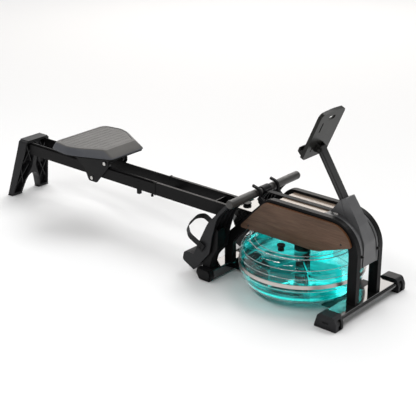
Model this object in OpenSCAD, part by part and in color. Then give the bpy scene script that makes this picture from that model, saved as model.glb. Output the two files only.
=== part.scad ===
// Water-resistance rowing machine with a folding twin rail, a rolling seat,
// a clear water tank between two bent-tube hoops and a tilting phone holder.
// All parts are drawn with x = 0 at the front edge of the base, x negative
// towards the seat, y = 0 on the centre plane and z = 0 on the floor, and are
// then moved so that the origin lies under the middle of the machine.

/* [Overall] */
// Length from the front of the base to the back of the rear feet
overall_length = 2071; // [2000:1:2150]
// Width of the front base over its end caps
base_width = 500; // [480:1:560]
// Width of the rear base over its end caps
rear_base_width = 460; // [440:1:480]

/* [Hoops and panels] */
// Height of the top of the hoops
hoop_top = 385.5; // [380:0.5:392]
// Width of the hoop tube seen from the side
hoop_tube = 42; // [38:1:44]
// Thickness of the hoop tube across the machine
hoop_thick = 25; // [20:1:26]
// Gap between the two hoops
hoop_gap = 128; // [128:1:132]
// Thickness of the wooden side panels
panel_thick = 11; // [9:1:12]

/* [Water tank] */
// Radius of the tank over its clamp band
tank_radius = 263; // [255:1:268]
// Height of the water inside the tank, above the floor
water_level = 168; // [150:1:175]
// Number of paddle blades
blade_count = 6; // [4:1:8]

/* [Handle] */
// Length of the pull handle
handle_length = 460; // [420:1:500]
// Diameter of the grips
grip_diameter = 36; // [30:1:36]
// Width of the pull strap
strap_width = 25; // [22:1:28]

/* [Rails] */
// Outer distance between the two rails
rail_span = 112; // [110:1:114]
// Width of one rail
rail_width = 12.5; // [12:0.5:13]
// Height of one rail
rail_height = 59; // [55:1:60]
// Height of the top of the rails
rail_top = 284; // [283:1:285]

/* [Seat] */
// Greatest width of the seat
seat_width = 376; // [340:1:380]
// Height of the top of the seat
seat_top = 388; // [382:1:392]

/* [Pedals] */
// Width of one pedal
pedal_width = 120; // [110:1:124]
// Distance of the pedals from the centre plane
pedal_inner = 95; // [94:1:98]

/* [Console] */
// Width of the phone holder
holder_width = 160; // [140:1:180]
// Length of the phone holder
holder_length = 224; // [200:1:230]

/* [Hidden] */
$fn = 96;

wall = 2.5;               // wall of the steel tubes
running = 0.06;           // radial clearance of a turning fit
soft_gap = 0.4;           // gap between a soft part and its neighbour

hoop_inner = hoop_gap / 2;
hoop_outer = hoop_inner + hoop_thick;
front_leg_x = -43;
rear_post_x = -663;
hoop_mid_z = hoop_top - hoop_tube / 2;
front_bend = 119;         // centre-line radius of the front bend

tank_x = -344;
tank_floor = 20;
band_low = 111;
band_high = 127;
seam_z = 119;
shell_wall = 6;
rim_radius = tank_radius - 4;
column_radius = 34;
hub_radius = 30;
shaft_radius = 10;
blade_reach = 165;
blade_low = 48;
hub_low = 34;
blade_high = 112;

handle_x = -547;
strap_z = 378;
bar_radius = 12.5;
clamp_half = 24;
hook_y = 59;
hook_thick = 9;
idler_x = -150;
idler_radius = 22;
strap_thick = 2;
drum_radius = 42;
drum_low = 256;
drum_high = 290;

rail_bottom = rail_top - rail_height;
rail_outer = rail_span / 2;
rail_inner = rail_outer - rail_width;
rail_front_x = -705;
rail_seam_x = -1120;
rail_rear_x = -overall_length + 114;
pivot_x = -650;
pivot_z = 262;
pin_radius = 8;
knob_x = -615;
knob_y = -26;
seam_pin_x = -1140;

seat_x = -1510;
roller_radius = 17.7;
roller_z = rail_top + roller_radius + 0.3;
front_roller_x = -1425;
rear_roller_x = -1610;
guide_x = -1512;
guide_radius = 12;
guide_z = rail_bottom - guide_radius - 0.5;
seat_bolt_radius = 5;

foot_slope = 63.8;        // slope of the foot surface from the floor
foot_x = -722;            // a point on the foot surface, where the strap crosses it
foot_z = 160;
strap_rise = 105;         // how far the foot strap arches off the foot surface
foot_strap_width = 28;

post_slope = 57.5;        // slope of the console post
post_foot = [-156.5, 442.5];
post_length = 217;
holder_slope = 66;
tilt_up = 208;            // how far up the post the tilt pin sits
tilt_x = post_foot[0] - tilt_up * cos(post_slope);
tilt_z = post_foot[1] + tilt_up * sin(post_slope);
tilt_radius = 4;
pull_rise = 14;           // angle at which the handle is pulled up and back

black_paint = "#1d1d1f";
soft_black = "#2b2b2d";
charcoal = "#3d3e41";
shroud_grey = "#77787a";
walnut = "#5d4334";
steel = "#b4aca6";
clear_shell = "#cfe9ea80";
cyan_water = "#2fe3dccc";

// ---- helpers ----

// Places a part that is drawn from the front edge of the base
module from_front() { translate([overall_length / 2, 0, 0]) children(); }

// Extrudes an outline drawn in x and z from y = low to y = high
module along_y(low, high) {
  translate([0, high, 0]) rotate([90, 0, 0]) linear_extrude(high - low) children();
}

// Extrudes an outline drawn in y and z from x = low to x = high
module along_x(low, high) {
  translate([low, 0, 0]) rotate([90, 0, 90]) linear_extrude(high - low) children();
}

// Draws a left-hand part on the left (1) or mirrored to the right (-1)
module on_side(side) { mirror([0, side < 0 ? 1 : 0, 0]) children(); }

module both_sides() { for (side = [1, -1]) on_side(side) children(); }

// A round bar along y
module bar_y(x, z, radius, low, high) {
  translate([x, high, z]) rotate([90, 0, 0]) cylinder(r = radius, h = high - low);
}

function unit(v) = v / norm(v);
function left_of(v) = [-v[1], v[0]];
function flat(p) = [p[0], p[1]];
function reverse(list) = [for (i = [len(list) - 1:-1:0]) list[i]];

// The arc that rounds corner b, between a and c, to radius r
function corner_arc(a, b, c, r, steps = 10) =
  let (u = unit(a - b), v = unit(c - b), half = acos(max(-1, min(1, u * v))) / 2,
       reach = r / tan(half), centre = b + unit(u + v) * r / sin(half),
       p = b + u * reach - centre, start = atan2(p[1], p[0]),
       turn = (cross(u, v) > 0 ? -1 : 1) * (180 - 2 * half))
  [for (i = [0:steps]) centre + r * [cos(start + turn * i / steps), sin(start + turn * i / steps)]];

// A closed outline of [x, y, corner radius] points
function rounded(points) =
  let (n = len(points))
  [for (i = [0:n - 1]) let (a = points[(i + n - 1) % n], b = points[i], c = points[(i + 1) % n])
    each (b[2] > 0 ? corner_arc(flat(a), flat(b), flat(c), b[2]) : [flat(b)])];

// An open path of [x, y, bend radius] points moved sideways by d, with its bends kept concentric
function shifted(path, d) =
  let (last = len(path) - 1)
  [for (i = [0:last])
    let (b = flat(path[i]),
         u = i > 0 ? unit(b - flat(path[i - 1])) : unit(flat(path[1]) - b),
         v = i < last ? unit(flat(path[i + 1]) - b) : u,
         turn = sign(cross(u, v)),
         moved = b + (left_of(u) + left_of(v)) / (1 + u * v) * d)
    [moved[0], moved[1], (i == 0 || i == last) ? 0 : path[i][2] - d * turn]];

// The points along an open path, with its bends as arcs
function bent(path) =
  [for (i = [0:len(path) - 1]) let (b = path[i])
    each (b[2] > 0 ? corner_arc(flat(path[i - 1]), flat(b), flat(path[i + 1]), b[2], 14) : [flat(b)])];

// The outline of a strip of the given width that follows a path
module strip(path, width) {
  polygon(concat(bent(shifted(path, width / 2)), reverse(bent(shifted(path, -width / 2)))));
}

// Points of a smooth curve from a to c, pulled towards b
function curve(a, b, c, steps = 14) =
  [for (i = [0:steps]) let (t = i / steps) (1 - t) * (1 - t) * a + 2 * t * (1 - t) * b + t * t * c];

// ---- base ----

module front_crossbeam() {
  color(black_paint) from_front() along_y(-base_width / 2 + 50, base_width / 2 - 50) {
    difference() {
      translate([-84, 12]) square([50, 35]);
      translate([-84 + wall, 12 + wall]) square([50 - 2 * wall, 35 - 2 * wall]);
    }
    translate([-86, 47]) square([72, 3]);
    translate([-35, 31]) square([8, 6]);
    difference() {
      translate([-19, 33]) circle(11);
      translate([-19, 33]) circle(8.5);
    }
  }
}

cap_outline = [[-104, 0, 4], [-87, 60, 15], [-14, 60, 16], [0, 30, 14], [0, 0, 5]];

module front_cap(side) {
  outer = base_width / 2;
  color(charcoal) from_front() on_side(side) difference() {
    along_y(outer - 50, outer) polygon(rounded(cap_outline));
    along_y(outer - 2, outer + 1)
      polygon(rounded([[-95, 7, 5], [-81, 53, 10], [-19, 53, 10], [-9, 28, 8], [-9, 7, 4]]));
    translate([-64, outer - 6, 24]) cube([26, 10, 7]);
    translate([-42, outer - 38, 4]) cube([60, 20, 42]);
    bar_y(wheel_x, wheel_z, axle_radius, outer - 46, outer - 8);
  }
}

wheel_x = -21;
wheel_z = 24;
wheel_radius = 17;
axle_radius = 3;

module transport_wheel(side) {
  outer = base_width / 2;
  color(soft_black) from_front() on_side(side) difference() {
    translate([wheel_x, outer - 20, wheel_z]) rotate([90, 0, 0]) rotate_extrude()
      polygon(rounded([[axle_radius + running, 0, 0], [10, 0, 0], [11, 2, 0],
                       [wheel_radius, 2, 2], [wheel_radius, 14, 2], [11, 14, 0],
                       [10, 16, 0], [axle_radius + running, 16, 0]]));
  }
}

module wheel_axles() {
  outer = base_width / 2;
  color(steel) from_front() both_sides() bar_y(wheel_x, wheel_z, axle_radius, outer - 46, outer - 8);
}

rear_cap_length = 27;
rear_beam = [[-708, 6, 8], [-714, 26, 14], [-714, 50, 4], [-650, 50, 5], [-650, 10, 4], [-656, 6, 2]];
rear_bore = [[-706, 9, 6], [-711, 27, 12], [-711, 47, 2], [-653, 47, 3], [-653, 12, 2], [-657, 9, 1]];
rear_cap = [[-711, 0, 6], [-728, 27, 12], [-721, 52, 12], [-652, 52, 14], [-646, 26, 12], [-656, 0, 5]];

module rear_crossbeam() {
  end = rear_base_width / 2 - rear_cap_length;
  color(black_paint) from_front() difference() {
    along_y(-end, end) polygon(rounded(rear_beam));
    along_y(-end - 1, end + 1) polygon(rounded(rear_bore));
  }
}

module rear_base_caps() {
  end = rear_base_width / 2;
  color(soft_black) from_front() both_sides() {
    along_y(end - rear_cap_length, end - 6) polygon(rounded(rear_cap));
    along_y(end - 6, end)
      polygon(rounded([[-706, 4, 5], [-722, 27, 11], [-716, 48, 10], [-656, 48, 12], [-651, 26, 10],
                       [-659, 4, 5]]));
  }
}

module tank_tray() {
  color(black_paint) from_front() {
    translate([-650, -60, 12]) cube([566, 120, 4]);
    both_sides() translate([-650, 56, 6]) cube([566, 4, 6]);
    translate([tank_x, 0, 16]) difference() {
      cylinder(r = 58, h = tank_floor - 16);
      translate([0, 0, -1]) cylinder(r = 45, h = tank_floor);
    }
    difference() {
      along_y(-150, 150) polygon([[-140, 36], [-84, 36], [-84, 40], [-140, 40]]);
      translate([tank_x, 0, 30]) cylinder(r = 238, h = 20);
    }
    both_sides() translate([-92, 56, 16]) cube([6, 4, 20]);
  }
}

// ---- hoops, panels and shroud ----

slope_top = [-454.8, hoop_mid_z];
slope_foot = [rear_post_x, 156.3];
hoop_path = [[front_leg_x, 50, 0], [front_leg_x, hoop_mid_z, front_bend],
             [slope_top[0], slope_top[1], 42], [slope_foot[0], slope_foot[1], 62],
             [rear_post_x, 50, 0]];
hoop_bore_path = [[front_leg_x, 49, 0], [front_leg_x, hoop_mid_z, front_bend],
                  [slope_top[0], slope_top[1], 42], [slope_foot[0], slope_foot[1], 62],
                  [rear_post_x, 49, 0]];

module hoop(side) {
  color(black_paint) from_front() on_side(side) difference() {
    along_y(hoop_inner, hoop_outer) strip(hoop_path, hoop_tube);
    along_y(hoop_inner + wall, hoop_outer - wall) strip(hoop_bore_path, hoop_tube - 2 * wall);
  }
}

panel_outline = [[-601, 230, 8], [-212, 230, 160], [-48, 289, 9], [-76, 368, 102],
                 [-468, 371, 44]];
panel_screw_spots = [[-551, 246], [-96, 291]];

module side_panel(side) {
  color(walnut) from_front() on_side(side) difference() {
    along_y(hoop_outer, hoop_outer + panel_thick) polygon(rounded(panel_outline));
    for (spot = panel_screw_spots) {
      bar_y(spot[0], spot[1], 2.5, hoop_outer - 1, hoop_outer + panel_thick + 1);
      bar_y(spot[0], spot[1], 5, hoop_outer + panel_thick - 4, hoop_outer + panel_thick + 1);
    }
  }
}

module panel_screws() {
  color(soft_black) from_front() both_sides() for (spot = panel_screw_spots) difference() {
    union() {
      bar_y(spot[0], spot[1], 2.4, hoop_outer, hoop_outer + panel_thick - 4);
      bar_y(spot[0], spot[1], 4.7, hoop_outer + panel_thick - 4, hoop_outer + panel_thick - 1);
    }
    translate([spot[0], hoop_outer + panel_thick - 2.5, spot[1]]) rotate([-90, 0, 0])
      cylinder(r = 2, h = 4, $fn = 6);
  }
}

module top_panel() {
  color(walnut) from_front() translate([-438, -hoop_inner + 1, 366])
    cube([232, hoop_gap - 2, 8]);
}

// The curved cover between the hoops, from their top down to their front legs
shroud_path = [[-30.5, 192, 0], [-30.5, 378.5, 131.5], [-206, 378.5, 0]];

module shroud() {
  half = hoop_inner - 0.5;
  color(shroud_grey) from_front() difference() {
    union() {
      along_y(-half, half) strip(shroud_path, 3);
      both_sides() along_y(half - 12, half) strip(shroud_path, 10);
      translate([-46, -half, 192]) cube([15, 2 * half, 3]);
    }
    translate([-215, -strap_width / 2 - 7, 366]) cube([92, strap_width + 14, 18]);
  }
}

// The raised neck on the shroud that the console post slides into
neck_side = [[-151, 443, 0], [-127, 456, 3], [-97, 412, 0], [-60, 356, 60], [-27, 290, 30],
             [-22, 196, 3], [-29, 196, 0], [-29, 240, 0], [-42, 291, 0], [-72, 345, 60],
             [-118, 376, 60], [-166, 384, 0]];

module neck_cover() {
  color(shroud_grey) from_front() difference() {
    union() {
      intersection() {
        along_y(-60, 60) polygon(rounded(neck_side));
        along_x(-200, 0) polygon([[-28, 460], [28, 460], [30, 380], [47, 196], [-47, 196], [-30, 380]]);
      }
      both_sides() along_y(28, 31)
        polygon([[-151, 442], [-196, 384], [-128, 384]]);
      along_y(-31, 31) polygon([[-152, 442], [-197, 384], [-192, 384], [-148, 440]]);
    }
    along_y(-60, 60) polygon(concat(bent(shifted(shroud_path, -1.55)), [[-206, 192]]));
    post_shape(0.3, 60);
    translate([-215, -16, 370]) cube([64, 32, 30]);
  }
}

module shroud_bolts() {
  color(soft_black) from_front() both_sides() translate([-25.5, 56, 246]) rotate([0, 90, 0]) {
    cylinder(r = 6.5, h = 4);
    difference() {
      translate([0, 0, 4]) cylinder(r = 5, h = 5);
      translate([0, 0, 6]) cylinder(r = 2.6, h = 4, $fn = 6);
    }
  }
}

// ---- console ----

// The post is drawn along its own length from its foot, below by the depth it sits in the neck
module post_shape(extra, below) {
  translate([post_foot[0], 0, post_foot[1]]) rotate([0, post_slope - 90, 0])
    translate([-12.5 - extra, -15 - extra, -below])
      cube([25 + 2 * extra, 30 + 2 * extra, post_length + below]);
}

module console_post() {
  color(shroud_grey) from_front() difference() {
    post_shape(0, 58);
    translate([post_foot[0], 0, post_foot[1]]) rotate([0, post_slope - 90, 0]) {
      both_sides() for (x = [-10, 3.5])
        translate([x, 12, -60]) cube([6.5, 5, post_length + 40]);
      translate([-9.5, -9, -60]) cube([19, 18, post_length + 40]);
    }
    bar_y(tilt_x, tilt_z, tilt_radius, -30, 30);
  }
}

// Plastic cap that closes the top of the post
module post_cap() {
  color(soft_black) from_front() translate([post_foot[0], 0, post_foot[1]])
    rotate([0, post_slope - 90, 0]) translate([-11.5, -14, post_length]) cube([23, 28, 3]);
}

module tilt_pin() {
  color(steel) from_front() {
    bar_y(tilt_x, tilt_z, tilt_radius, -20.3, 20.3);
    both_sides() bar_y(tilt_x, tilt_z, 6, 20.3, 23.5);
  }
}

// Moves an outline from the holder's own plane, x across and y up its slope, to its place
module on_holder() {
  translate([-313, 0, 583]) rotate([0, 90 - holder_slope, 0]) children();
}

module phone_holder() {
  half = holder_width / 2;
  color(charcoal) from_front() {
    on_holder() {
      difference() {
        along_x(-7.5, 7.5)
          polygon(rounded([[-half, 0, 18], [half, 0, 18], [half, holder_length - 5, 22],
                           [0, holder_length + 1, 300], [-half, holder_length - 5, 22]]));
        along_x(-20, -3)
          polygon(rounded([[-half + 5, 12, 12], [half - 5, 12, 12], [half - 5, holder_length - 6, 25],
                           [-half + 5, holder_length - 6, 25]]));
        along_x(-10, 10)
          polygon(rounded([[-22, holder_length - 42, 8], [22, holder_length - 42, 8],
                           [22, holder_length - 24, 8], [-22, holder_length - 24, 8]]));
        along_x(4, 10) {
          polygon(rounded([[-51, 130, 3], [-43, 130, 3], [-43, 176, 3], [-51, 176, 3]]));
          polygon(rounded([[-50, 34, 2.4], [-44, 34, 2.4], [-44, 56, 2.4], [-50, 56, 2.4]]));
        }
      }
      along_y(-half + 14, half - 14)
        polygon(rounded([[-6, 4, 0], [-34, 16, 6], [-34, 38, 3], [-28, 38, 3], [-26, 24, 6],
                         [-3, 18, 0], [-3, 4, 0]]));
    }
    difference() {
      on_holder() both_sides() along_y(15.5, 20)
        polygon(rounded([[7, 30, 0], [35.5, 40, 9], [35.5, 60, 9], [7, 68, 0]]));
      bar_y(tilt_x, tilt_z, tilt_radius + running, -25, 25);
    }
  }
}

// ---- water tank ----

function shell_low(inset) =
  concat([[0, tank_floor + inset], [196, tank_floor + inset]],
         curve([212, tank_floor + 4 + inset] - [inset, 0], [252 - inset, 38],
               [rim_radius - inset, band_low - 2]),
         [[rim_radius - inset, seam_z]]);

function shell_high(inset) =
  concat([[rim_radius - inset, seam_z], [rim_radius - inset, 138]],
         curve([rim_radius - inset, 142], [rim_radius - 6 - inset, 205 - inset],
               [218 - inset, 218 - inset]),
         curve([210, 219 - inset], [150, 226 - inset], [70, 226 - inset]));

module revolve(points) { translate([tank_x, 0, 0]) rotate_extrude() polygon(points); }

module tank_lower() {
  color(clear_shell) from_front() revolve(concat(shell_low(0), reverse(shell_low(shell_wall))));
}

module tank_upper() {
  color(clear_shell) from_front() difference() {
    union() {
      revolve(concat(shell_high(0), [[42, 226], [42, 226 - shell_wall]], reverse(shell_high(shell_wall))));
      translate([tank_x, 0, 226]) difference() {
        cylinder(r = 70, h = 8);
        translate([0, 0, -1]) cylinder(r = 62, h = 10);
      }
    }
    translate([-351, -139, 200]) cylinder(r = 13, h = 40);
  }
}

module tank_band() {
  color(steel) from_front() {
    translate([tank_x, 0, band_low]) difference() {
      cylinder(r = tank_radius, h = band_high - band_low, $fn = 180);
      translate([0, 0, -1]) cylinder(r = rim_radius + 0.1, h = 20, $fn = 180);
    }
  }
}

// Fixed black tube that the shaft runs in, from the tank's lid down to the paddles
module tank_column() {
  color(soft_black) from_front() translate([tank_x, 0, 0]) difference() {
    union() {
      translate([0, 0, blade_high + 8]) cylinder(r = column_radius, h = 234 - blade_high - 8);
      translate([0, 0, 226]) cylinder(r = 61, h = 8);
    }
    translate([0, 0, blade_high]) cylinder(r = shaft_radius + running, h = 140);
  }
}

module tank_plug() {
  color(soft_black) from_front() translate([-351, -139, 0]) difference() {
    union() {
      translate([0, 0, 206]) cylinder(r = 12.8, h = 20.5);
      translate([0, 0, 226.5]) cylinder(r = 16.5, h = 7);
    }
    translate([-9, -2, 231.5]) cube([18, 4, 4]);
  }
}

function water_side(inset) =
  concat([[0, tank_floor + inset], [196, tank_floor + inset]],
         curve([212 - inset, tank_floor + 4 + inset], [252 - inset, 38],
               [rim_radius - inset, band_low - 2]),
         [[rim_radius - inset, 140], [rim_radius - inset - 9, water_level], [0, water_level]]);

// The water turns with the paddles, so it is cut to their shape
module water() {
  color(cyan_water) from_front() difference() {
    revolve(water_side(shell_wall + 0.6));
    paddles(0.2);
    translate([tank_x, 0, 0]) cylinder(r = shaft_radius, h = 240);
    translate([tank_x, 0, blade_high + 8]) cylinder(r = column_radius + 1, h = 140);
  }
}

module paddles(extra) {
  translate([tank_x, 0, 0]) {
    translate([0, 0, hub_low - extra])
      cylinder(r = hub_radius + extra, h = blade_high - hub_low + 2 * extra);
    for (i = [0:blade_count - 1]) rotate([0, 0, i * 360 / blade_count + 15])
      translate([15, -2.5 - extra, blade_low - extra])
        cube([blade_reach - 15 + extra, 5 + 2 * extra, blade_high - blade_low + 2 * extra]);
  }
}

module impeller() {
  color(soft_black) from_front() difference() {
    paddles(0);
    translate([tank_x, 0, 0]) cylinder(r = shaft_radius, h = 200);
  }
}

module impeller_shaft() {
  color(steel) from_front() translate([tank_x, 0, tank_floor + shell_wall + 1])
    cylinder(r = shaft_radius, h = 300 - tank_floor - shell_wall - 1);
}

// ---- strap and handle ----

module strap_drum() {
  color(soft_black) from_front() translate([tank_x, 0, 0]) difference() {
    union() {
      translate([0, 0, drum_low]) cylinder(r = drum_radius, h = drum_high - drum_low);
      translate([0, 0, drum_low - 3]) cylinder(r = drum_radius + 9, h = 3);
      translate([0, 0, drum_high]) cylinder(r = drum_radius + 9, h = 3);
    }
    cylinder(r = shaft_radius + running, h = 320);
    for (i = [0:5]) rotate([0, 0, 60 * i]) translate([27, 0, drum_low - 5]) cylinder(r = 7, h = 60);
  }
}

idler_z = strap_z - strap_thick / 2 - idler_radius;

module idler_roller() {
  color(soft_black) from_front() difference() {
    union() {
      bar_y(idler_x, idler_z, idler_radius, -17, 17);
      both_sides() bar_y(idler_x, idler_z, idler_radius + 1.5, 15, 18);
    }
    bar_y(idler_x, idler_z, 5 + running, -20, 20);
  }
}

module idler_axle() {
  color(steel) from_front() bar_y(idler_x, idler_z, 5, -hoop_inner + 0.2, hoop_inner - 0.2);
}

module pull_strap() {
  color(charcoal) from_front() translate([handle_x + clamp_half - 4, -strap_width / 2, strap_z - 1])
    cube([idler_x - handle_x - clamp_half + 4, strap_width, strap_thick]);
}

// One cross-section of the strap's hidden run, which drops to the drum's height and twists a
// quarter turn in the first four fifths of its way, and then meets the drum square on
tail_start = [idler_x, 0, idler_z - idler_radius - 1.2];
tail_reach = drum_radius + 1.2;
tail_angle = acos(tail_reach / (idler_x - tank_x));
tail_end = [tank_x + tail_reach * cos(tail_angle), tail_reach * sin(tail_angle),
            (drum_low + drum_high) / 2];
tail_steps = 25;
function tail_ring(t) =
  let (done = min(1, t / 0.8), way = tail_end - tail_start, twist = 90 * done,
       centre = tail_start + [way[0] * t, way[1] * t, way[2] * done],
       across = [0, cos(twist), sin(twist)], thick = [0, -sin(twist), cos(twist)])
  [for (corner = [[-1, -1], [1, -1], [1, 1], [-1, 1]])
    centre + across * corner[0] * strap_width / 2 + thick * corner[1] * 0.9];

module strap_tail() {
  rings = [for (i = [0:tail_steps]) each tail_ring(i / tail_steps)];
  sides = [for (i = [0:tail_steps - 1], k = [0:3])
    let (a = 4 * i + k, b = 4 * i + (k + 1) % 4) each [[a, b, b + 4], [a, b + 4, a + 4]]];
  last = 4 * tail_steps;
  color(charcoal) from_front() {
    polyhedron(rings, concat([[3, 2, 1, 0]], sides, [[last, last + 1, last + 2, last + 3]]));
    difference() {
      bar_y(idler_x, idler_z, idler_radius + strap_thick + 0.1, -strap_width / 2, strap_width / 2);
      bar_y(idler_x, idler_z, idler_radius + 0.1, -strap_width, strap_width);
      translate([idler_x - 60, -40, idler_z - 60]) cube([60, 80, 120]);
    }
  }
}

module handle_bar() {
  color(black_paint) from_front()
    bar_y(handle_x, strap_z, bar_radius, -handle_length / 2 + 5, handle_length / 2 - 5);
}

module handle_grips() {
  color(charcoal) from_front() both_sides() translate([handle_x, 0, strap_z]) rotate([-90, 0, 0])
    rotate_extrude() polygon(rounded([
      [bar_radius, clamp_half + 2, 0], [grip_diameter / 2 - 2, clamp_half + 2, 2],
      [grip_diameter / 2 - 1, clamp_half + 60, 0], [grip_diameter / 2, clamp_half + 66, 0],
      [grip_diameter / 2, handle_length / 2, 5], [0, handle_length / 2, 0],
      [0, handle_length / 2 - 5, 0], [bar_radius, handle_length / 2 - 5, 0]]));
}

// Block in the middle of the handle that holds the end of the strap
module strap_clamp() {
  color(soft_black) from_front() difference() {
    union() {
      bar_y(handle_x, strap_z, 20, -clamp_half, clamp_half);
      along_y(-18, 18) polygon(rounded([[handle_x, strap_z - 9, 0], [handle_x, strap_z + 9, 0],
        [handle_x + clamp_half, strap_z + 7, 3], [handle_x + clamp_half, strap_z - 7, 3]]));
    }
    bar_y(handle_x, strap_z, bar_radius, -40, 40);
    translate([handle_x + clamp_half - 4, -strap_width / 2, strap_z - 1])
      cube([10, strap_width, strap_thick]);
  }
}

// Two open hooks on a cross plate, which hold the handle against the pull of the strap
hook_radius = 26.5;
hook_tip = [handle_x, strap_z] + hook_radius * [sin(pull_rise), cos(pull_rise)]
           + 22 * [-cos(pull_rise), sin(pull_rise)];
hook_path = concat([[hook_tip[0], hook_tip[1], 0]],
                   [for (a = [90 - pull_rise:-9:-65])
                     [handle_x + hook_radius * cos(a), strap_z + hook_radius * sin(a), 0]]);

module handle_hooks() {
  color(soft_black) from_front() {
    both_sides() along_y(hook_y - hook_thick / 2, hook_y + hook_thick / 2) {
      strip(hook_path, 10);
      polygon([[handle_x + 18, strap_z - 16], [handle_x + 30, strap_z - 10],
               [-488, 346], [-486, 330], [-517, 330], [-530, 345]]);
    }
    along_y(-hoop_inner, hoop_inner)
      polygon(rounded([[-516, 328, 2], [-516, 336, 2], [-488, 336, 2], [-488, 328, 2]]));
  }
}

// ---- pedals ----

pedal_outline = [[-749, 27, 5], [-813, 58, 16], [-802, 101, 18], [-772, 102, 8], [-752, 99, 6],
                 [-672, 262, 150], [-579, 364, 7], [-567, 356, 5], [-622, 296, 90],
                 [-650, 205, 40], [-657, 160, 20], [-664, 126, 8]];
pedal_hollow = [[-733, 70, 0], [-745, 100, 10], [-667, 258, 150], [-588, 346, 4], [-562, 342, 0],
                [-600, 260, 0], [-620, 150, 0], [-690, 60, 0]];

module pedal(side) {
  outer = pedal_inner + pedal_width;
  color(charcoal) from_front() on_side(side) {
    difference() {
      along_y(pedal_inner, outer) polygon(rounded(pedal_outline));
      along_y(pedal_inner + 5, outer - 5) polygon(rounded(pedal_hollow));
    }
    for (i = [1:3]) intersection() {
      rib_y = pedal_inner + i * pedal_width / 4;
      along_y(rib_y - 1.5, rib_y + 1.5) polygon(rounded(pedal_outline));
      along_y(pedal_inner + 4, outer - 4)
        polygon([[-735, 80], [-748, 100], [-668, 262], [-588, 350], [-606, 320], [-642, 250],
                 [-672, 160], [-712, 98]]);
    }
  }
}

// Drawn in the foot's own plane: x across the pedal, y away from the foot surface
module foot_strap(side) {
  inner = pedal_inner - soft_gap - 1.5;
  outer = pedal_inner + pedal_width + soft_gap + 1.5;
  loop = [[inner, -24, 0], [inner, strap_rise - 12, 24], [inner + 32, strap_rise + 3, 40],
          [outer - 24, strap_rise - 12, 40], [outer + 3, 52, 50], [outer, -34, 0]];
  color(soft_black) from_front() on_side(side) on_foot() askew(outer)
    linear_extrude(foot_strap_width) strip(loop, 2.4);
}

// Turns an outline so that its x lies across the machine and its y away from the foot surface
module on_foot() {
  translate([foot_x, 0, foot_z]) rotate([0, 90 - foot_slope, 0])
    multmatrix([[0, -1, 0, 0], [1, 0, 0, 0], [0, 0, 1, 0], [0, 0, 0, 1]])
      translate([0, 0, -foot_strap_width / 2]) children();
}

// Slides the strap up the foot towards its inner end, so that it crosses the foot askew
module askew(outer) {
  multmatrix([[1, 0, 0, 0], [0, 1, 0, 0], [-0.22, 0, 1, 0.22 * outer], [0, 0, 0, 1]]) children();
}

module strap_buckles() {
  outer = pedal_inner + pedal_width;
  color(soft_black) from_front() both_sides() on_foot() difference() {
    translate([outer + 4.3, -36, -4]) cube([5, 28, foot_strap_width + 8]);
    translate([outer + 7.3, -27, 4]) cube([5, 10, foot_strap_width - 8]);
  }
}

// Channels that carry the pedals on the rear base: two cheeks and a web along their front edge
bracket_outline = [[-712, 50, 0], [-706, 76, 6], [-703, 98, 8], [-663, 160, 20], [-640, 236, 4],
                   [-628, 236, 4], [-630, 150, 30], [-660, 104, 40], [-671, 66, 20], [-671, 50, 0]];
bracket_hollow = [[-722, 40, 0], [-714, 90, 0], [-674, 160, 0], [-648, 250, 0], [-632, 250, 0],
                  [-634, 152, 28], [-664, 106, 38], [-675, 66, 18], [-675, 40, 0]];

module pedal_brackets() {
  inner = 157;
  outer = 202;
  color(black_paint) from_front() both_sides() difference() {
    along_y(inner, outer) polygon(rounded(bracket_outline));
    along_y(inner + 4, outer - 4) polygon(rounded(bracket_hollow));
  }
}

// ---- folding joint and rails ----

module head_bracket() {
  cheek = 44.5;
  color(black_paint) from_front() difference() {
    union() {
      both_sides() along_y(cheek, cheek + 5)
        polygon(rounded([[-682, 262, 20], [-672, 297, 18], [-556, 297, 0], [-576, 240, 0],
                         [-596, 204, 8], [-662, 196, 12], [-676, 232, 10]]));
      along_y(-75, 75) polygon(rounded([[-628, 297, 0], [-628, 300, 1], [-552, 300, 1], [-556, 293, 0],
                                        [-562, 297, 0]]));
      translate([-610, -hoop_inner, 232]) cube([46, hoop_gap, 4]);
    }
    bar_y(pivot_x, pivot_z, pin_radius, -70, 70);
    translate([knob_x, knob_y, 290]) cylinder(r = 5 + running, h = 20);
  }
}

module fold_pin() {
  color(steel) from_front() {
    bar_y(pivot_x, pivot_z, pin_radius, -49.5, 49.5);
    both_sides() bar_y(pivot_x, pivot_z, 12, 49.5, 55);
  }
}

module lock_knob() {
  color(soft_black) from_front() translate([knob_x, knob_y, 0]) {
    translate([0, 0, 276]) cylinder(r = 5, h = 30);
    translate([0, 0, 301]) cylinder(r = 12, h = 2);
    translate([0, 0, 303]) cylinder(r = 17, h = 7);
    for (i = [0:7]) rotate([0, 0, 45 * i]) translate([15.5, 0, 303]) cylinder(r = 2.4, h = 7, $fn = 24);
  }
}

// Inner block that joins the rails and turns on the fold pin
module rail_nose() {
  half = rail_inner - 0.5;
  color(black_paint) from_front() difference() {
    union() {
      along_y(-half, half)
        polygon(rounded([[-790, 240, 0], [-790, 275, 0], [-629, 275, 14], [-625, 242, 18]]));
      translate([-790, -rail_inner, 240]) cube([80, 2 * rail_inner, 35]);
    }
    translate([-784, -half + 4, 230]) cube([106, 2 * half - 8, 60]);
    bar_y(pivot_x, pivot_z, pin_radius + running, -60, 60);
  }
}

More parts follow.
